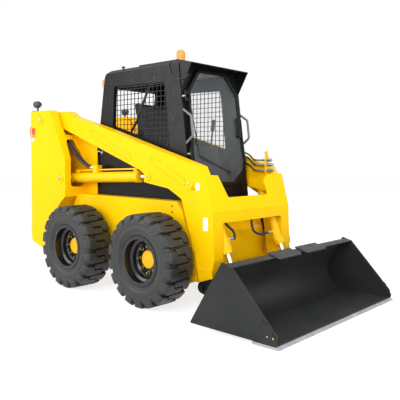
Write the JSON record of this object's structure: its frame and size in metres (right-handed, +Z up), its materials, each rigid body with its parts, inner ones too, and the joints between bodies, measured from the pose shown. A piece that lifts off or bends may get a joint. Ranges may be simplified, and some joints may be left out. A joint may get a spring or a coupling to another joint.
{
  "type": "skid steer loader",
  "caption": "Compact wheeled loader with twin lift arms, enclosed operator cab and a general purpose bucket held by hydraulic cylinders.",
  "frame": {"origin": "on the ground under the middle of the machine with its bucket lowered", "axes": "+X forward towards the bucket, +Y to the operator's left, +Z up"},
  "size_m": [3.596, 1.882, 2.3558],
  "materials": {
    "yellow_paint": "satin enamel",
    "black_paint": "satin",
    "bucket_black": "satin, lightly dusted",
    "edge_steel": "worn steel",
    "chrome": "polished",
    "tyre": "matt rubber",
    "glass": "clear",
    "seat_vinyl": "padded vinyl",
    "dark_plastic": "moulded",
    "amber": "translucent amber",
    "lamp": "lens",
    "grey_steel": "cast",
    "hose_rubber": "braided rubber"
  },
  "bodies": {
    "chassis": {"tub": "yellow_paint", "chain_case_left": "yellow_paint", "chain_case_right": "yellow_paint", "tower_left": "yellow_paint", "tower_right": "yellow_paint", "pivot_pins": "yellow_paint", "cab_frame": "black_paint", "visor": "black_paint", "window_grilles": "black_paint", "grab_handles": "black_paint", "hinge_leaves": "black_paint", "seat_base": "dark_plastic", "seat_cushions": "seat_vinyl", "controls": "dark_plastic", "beacon": "amber", "lamps": "lamp", "engine_hood": "yellow_paint", "engine_block": "grey_steel", "work_lamps": "dark_plastic", "beacon_cable": "hose_rubber"},
    "boom": {"arm_left": "yellow_paint", "arm_right": "yellow_paint", "front_cross": "yellow_paint", "quick_couplers": "edge_steel", "coupler_bracket": "yellow_paint", "aux_hoses": "hose_rubber"},
    "bucket": {"coupler": "black_paint", "bucket_shell": "bucket_black", "cutting_edge": "edge_steel"},
    "cab_door_body": {"cab_door": "black_paint", "door_glass": "glass"},
    "rear_door_body": {"rear_door": "yellow_paint"},
    "lift_barrel_left_body": {"lift_barrel_left": "yellow_paint", "lift_hoses_left": "hose_rubber"},
    "lift_rod_left_body": {"lift_rod_left": "chrome"},
    "tilt_barrel_left_body": {"tilt_barrel_left": "yellow_paint", "tilt_hose_left": "hose_rubber"},
    "tilt_rod_left_body": {"tilt_rod_left": "chrome"},
    "wheel_front_left_body": {"tyre_front_left": "tyre", "wheel_front_left": "black_paint"},
    "wheel_rear_left_body": {"tyre_rear_left": "tyre", "wheel_rear_left": "black_paint"},
    "lift_barrel_right_body": {"lift_barrel_right": "yellow_paint", "lift_hoses_right": "hose_rubber"},
    "lift_rod_right_body": {"lift_rod_right": "chrome"},
    "tilt_barrel_right_body": {"tilt_barrel_right": "yellow_paint", "tilt_hose_right": "hose_rubber"},
    "tilt_rod_right_body": {"tilt_rod_right": "chrome"},
    "wheel_front_right_body": {"tyre_front_right": "tyre", "wheel_front_right": "black_paint"},
    "wheel_rear_right_body": {"tyre_rear_right": "tyre", "wheel_rear_right": "black_paint"}
  },
  "joints": [
    {"name": "wheel_front_left_spin", "type": "hinge", "parent": "chassis", "child": "wheel_front_left_body", "pos_m": [0.284, 0.75, 0.415], "axis": [0, 1, 0], "continuous": true},
    {"name": "wheel_front_right_spin", "type": "hinge", "parent": "chassis", "child": "wheel_front_right_body", "pos_m": [0.284, -0.75, 0.415], "axis": [0, 1, 0], "continuous": true},
    {"name": "wheel_rear_left_spin", "type": "hinge", "parent": "chassis", "child": "wheel_rear_left_body", "pos_m": [-0.816, 0.75, 0.415], "axis": [0, 1, 0], "continuous": true},
    {"name": "wheel_rear_right_spin", "type": "hinge", "parent": "chassis", "child": "wheel_rear_right_body", "pos_m": [-0.816, -0.75, 0.415], "axis": [0, 1, 0], "continuous": true},
    {"name": "boom_lift", "type": "hinge", "parent": "chassis", "child": "boom", "pos_m": [-1.565, 0, 1.726], "axis": [0, -1, 0], "range_deg": [0, 62]},
    {"name": "bucket_tilt", "type": "hinge", "parent": "boom", "child": "bucket", "pos_m": [0.775, 0, 0.215], "axis": [0, 1, 0], "range_deg": [-28, 97]},
    {"name": "lift_barrel_left_swing", "type": "hinge", "parent": "chassis", "child": "lift_barrel_left_body", "pos_m": [-1.184, 0.511, 1.094], "axis": [0, -1, 0], "range_deg": [0, 62]},
    {"name": "lift_rod_left_slide", "type": "slide", "parent": "lift_barrel_left_body", "child": "lift_rod_left_body", "axis": [0.9993, 0, 0.0377], "range_m": [0, 0.77]},
    {"name": "tilt_barrel_left_swing", "type": "hinge", "parent": "boom", "child": "tilt_barrel_left_body", "pos_m": [0.638, 0.4, 1.075], "axis": [0, 1, 0], "range_deg": [-3.3, 11]},
    {"name": "tilt_rod_left_slide", "type": "slide", "parent": "tilt_barrel_left_body", "child": "tilt_rod_left_body", "axis": [0.4004, 0, -0.9163], "range_m": [-0.09, 0.295]},
    {"name": "lift_barrel_right_swing", "type": "hinge", "parent": "chassis", "child": "lift_barrel_right_body", "pos_m": [-1.184, -0.511, 1.094], "axis": [0, -1, 0], "range_deg": [0, 62]},
    {"name": "lift_rod_right_slide", "type": "slide", "parent": "lift_barrel_right_body", "child": "lift_rod_right_body", "axis": [0.9993, 0, 0.0377], "range_m": [0, 0.77]},
    {"name": "tilt_barrel_right_swing", "type": "hinge", "parent": "boom", "child": "tilt_barrel_right_body", "pos_m": [0.638, -0.4, 1.075], "axis": [0, 1, 0], "range_deg": [-3.3, 11]},
    {"name": "tilt_rod_right_slide", "type": "slide", "parent": "tilt_barrel_right_body", "child": "tilt_rod_right_body", "axis": [0.4004, 0, -0.9163], "range_m": [-0.09, 0.295]},
    {"name": "cab_door_swing", "type": "hinge", "parent": "chassis", "child": "cab_door_body", "pos_m": [0.42503, -0.405, 1.62439], "axis": [0.1338, 0, -0.991], "range_deg": [0, 65]},
    {"name": "rear_door_swing", "type": "hinge", "parent": "chassis", "child": "rear_door_body", "pos_m": [-1.779, -0.436, 0.9], "axis": [0, 0, 1], "range_deg": [0, 100]}
  ],
  "couplings": [
    {"joint": "lift_barrel_left_swing", "follows": "boom_lift", "ratio": 0.9873},
    {"joint": "lift_rod_left_slide", "follows": "boom_lift", "m_per_rad": 0.7022},
    {"joint": "tilt_barrel_left_swing", "follows": "bucket_tilt", "ratio": 0.1094},
    {"joint": "tilt_rod_left_slide", "follows": "bucket_tilt", "m_per_rad": 0.1699},
    {"joint": "lift_barrel_right_swing", "follows": "boom_lift", "ratio": 0.9873},
    {"joint": "lift_rod_right_slide", "follows": "boom_lift", "m_per_rad": 0.7022},
    {"joint": "tilt_barrel_right_swing", "follows": "bucket_tilt", "ratio": 0.1094},
    {"joint": "tilt_rod_right_slide", "follows": "bucket_tilt", "m_per_rad": 0.1699}
  ]
}
